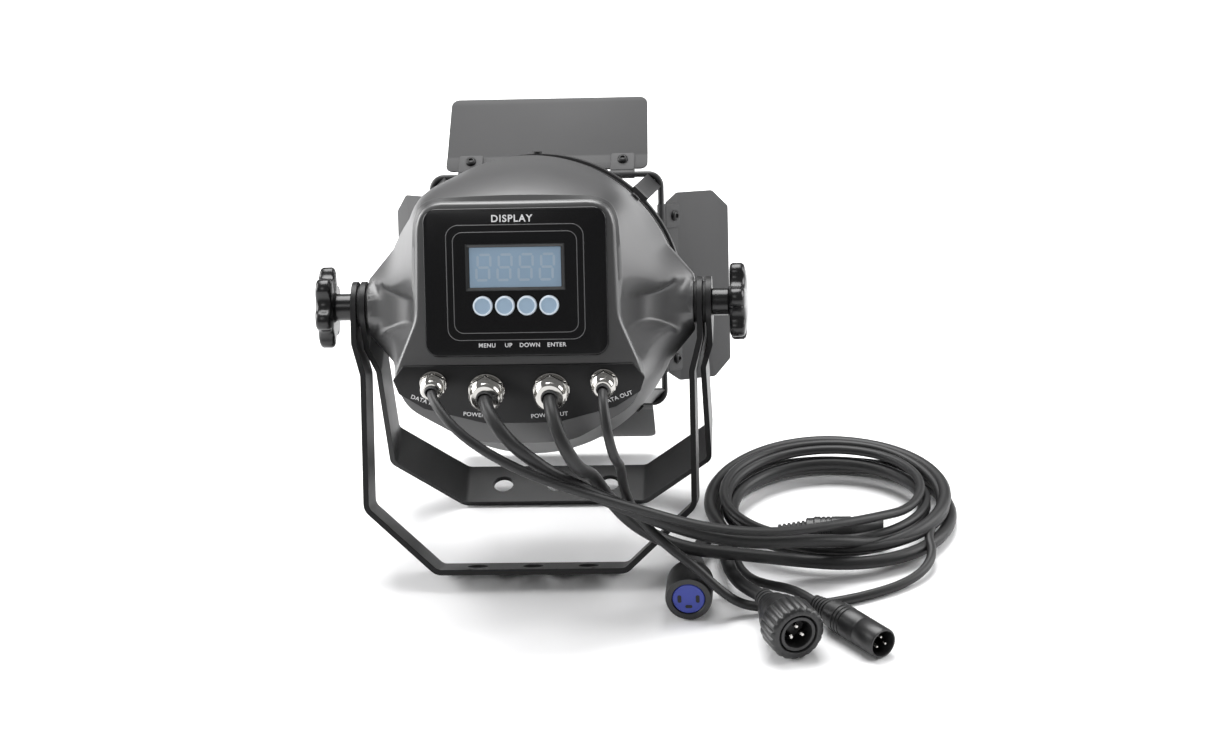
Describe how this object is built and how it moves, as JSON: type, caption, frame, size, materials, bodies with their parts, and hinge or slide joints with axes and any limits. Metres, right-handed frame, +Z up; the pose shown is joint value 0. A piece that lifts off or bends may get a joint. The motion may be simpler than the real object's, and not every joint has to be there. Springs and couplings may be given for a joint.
{
  "type": "par can light",
  "caption": "Short stage par light with domed rear housing, display and push buttons, double floor yoke, star knobs, wire-framed barn doors, and power and data cords with connectors.",
  "frame": {"origin": "on the floor, midway between the two yokes, under the tilt axis", "axes": "+X along the tilt axis to the right seen from the back, +Y the way the beam points, +Z up"},
  "size_m": [0.402, 0.3578, 0.2608],
  "materials": {
    "strap_paint": "satin",
    "housing_paint": "satin",
    "barrel_paint": "satin",
    "door_paint": "matt",
    "panel_plastic": "gloss",
    "facet_plastic": "satin",
    "window_plastic": "gloss",
    "button_plastic": "satin",
    "gland_metal": "polished",
    "black_screw": "satin",
    "knob_plastic": "gloss",
    "stud_steel": "zinc plated",
    "rubber": "matt",
    "glass": "clear",
    "lens_plastic": "clear",
    "board": "satin",
    "chip": "matt",
    "sink_metal": "extruded",
    "supply_metal": "sheet",
    "cord_rubber": "matt",
    "connector_plastic": "satin",
    "pin_metal": "nickel plated"
  },
  "bodies": {
    "near_yoke": {"near_yoke": "strap_paint", "data_in_lead": "cord_rubber", "power_in_lead": "cord_rubber", "power_out_lead": "cord_rubber", "data_out_lead": "cord_rubber", "data_in_tail": "cord_rubber", "power_in_tail": "cord_rubber", "power_out_tail": "cord_rubber", "data_out_tail": "cord_rubber", "cable_coil": "cord_rubber", "data_in_plug": "connector_plastic", "power_in_plug": "connector_plastic", "power_out_socket": "connector_plastic", "data_out_socket": "connector_plastic", "plug_pins": "pin_metal"},
    "far_yoke": {"far_yoke": "strap_paint", "arm_washers": "rubber"},
    "head": {"rear_housing": "housing_paint", "front_barrel": "barrel_paint", "front_ring": "barrel_paint", "front_glass": "glass", "glass_gasket": "rubber", "lens_plate": "lens_plastic", "led_board": "board", "led_chips": "chip", "heat_sink": "sink_metal", "power_supply": "supply_metal", "control_board": "board", "display_panel": "panel_plastic", "display_window": "window_plastic", "connector_panel": "facet_plastic", "housing_screws": "black_screw", "ring_screws": "black_screw", "pivot_inserts": "stud_steel", "ear_washers": "rubber", "barn_door_ring": "door_paint", "barn_door_wire": "door_paint", "data_in_gland": "gland_metal", "power_in_gland": "gland_metal", "power_out_gland": "gland_metal", "data_out_gland": "gland_metal"},
    "left_knob": {"left_star_knob": "knob_plastic", "left_knob_stud": "stud_steel"},
    "right_knob": {"right_star_knob": "knob_plastic", "right_knob_stud": "stud_steel"},
    "coupling_nut": {"power_coupling_nut": "connector_plastic"},
    "menu_button": {"menu_button": "button_plastic"},
    "up_button": {"up_button": "button_plastic"},
    "down_button": {"down_button": "button_plastic"},
    "enter_button": {"enter_button": "button_plastic"},
    "top_leaf": {"top_leaf": "door_paint", "top_leaf_clips": "door_paint"},
    "right_leaf": {"right_leaf": "door_paint", "right_leaf_clips": "door_paint"},
    "bottom_leaf": {"bottom_leaf": "door_paint", "bottom_leaf_clips": "door_paint"},
    "left_leaf": {"left_leaf": "door_paint", "left_leaf_clips": "door_paint"}
  },
  "joints": [
    {"name": "far_yoke_swing", "type": "hinge", "parent": "near_yoke", "child": "far_yoke", "pos_m": [0, 0, 0.16296], "axis": [1, 0, 0], "range_deg": [-28, 8]},
    {"name": "head_tilt", "type": "hinge", "parent": "near_yoke", "child": "head", "pos_m": [0, 0, 0.16296], "axis": [1, 0, 0], "range_deg": [-8, 45], "deforming": ["data_in_lead", "power_in_lead", "power_out_lead", "data_out_lead"]},
    {"name": "left_knob_turn", "type": "hinge", "parent": "head", "child": "left_knob", "pos_m": [0, 0, 0.16296], "axis": [-1, 0, 0], "continuous": true},
    {"name": "right_knob_turn", "type": "hinge", "parent": "head", "child": "right_knob", "pos_m": [0, 0, 0.16296], "axis": [1, 0, 0], "continuous": true},
    {"name": "menu_button_press", "type": "slide", "parent": "head", "child": "menu_button", "axis": [0, 0.9455, -0.3256], "range_m": [0, 0.001], "stiffness_N_per_m": 400},
    {"name": "up_button_press", "type": "slide", "parent": "head", "child": "up_button", "axis": [0, 0.9455, -0.3256], "range_m": [0, 0.001], "stiffness_N_per_m": 400},
    {"name": "down_button_press", "type": "slide", "parent": "head", "child": "down_button", "axis": [0, 0.9455, -0.3256], "range_m": [0, 0.001], "stiffness_N_per_m": 400},
    {"name": "enter_button_press", "type": "slide", "parent": "head", "child": "enter_button", "axis": [0, 0.9455, -0.3256], "range_m": [0, 0.001], "stiffness_N_per_m": 400},
    {"name": "top_leaf_fold", "type": "hinge", "parent": "head", "child": "top_leaf", "pos_m": [0, 0.13032, 0.19742], "axis": [1, 0, 0], "range_deg": [-55, 50]},
    {"name": "right_leaf_fold", "type": "hinge", "parent": "head", "child": "right_leaf", "pos_m": [0.075, 0.1059, 0.1265], "axis": [0, -0.3256, -0.9455], "range_deg": [-44, 56]},
    {"name": "bottom_leaf_fold", "type": "hinge", "parent": "head", "child": "bottom_leaf", "pos_m": [0, 0.08148, 0.05559], "axis": [-1, 0, 0], "range_deg": [-30, 20]},
    {"name": "left_leaf_fold", "type": "hinge", "parent": "head", "child": "left_leaf", "pos_m": [-0.075, 0.1059, 0.1265], "axis": [0, 0.3256, 0.9455], "range_deg": [-32, 68]},
    {"name": "coupling_nut_turn", "type": "hinge", "parent": "near_yoke", "child": "coupling_nut", "pos_m": [0.1634, -0.16045, 0.018], "axis": [0.4249, -0.9052, 0], "continuous": true}
  ]
}
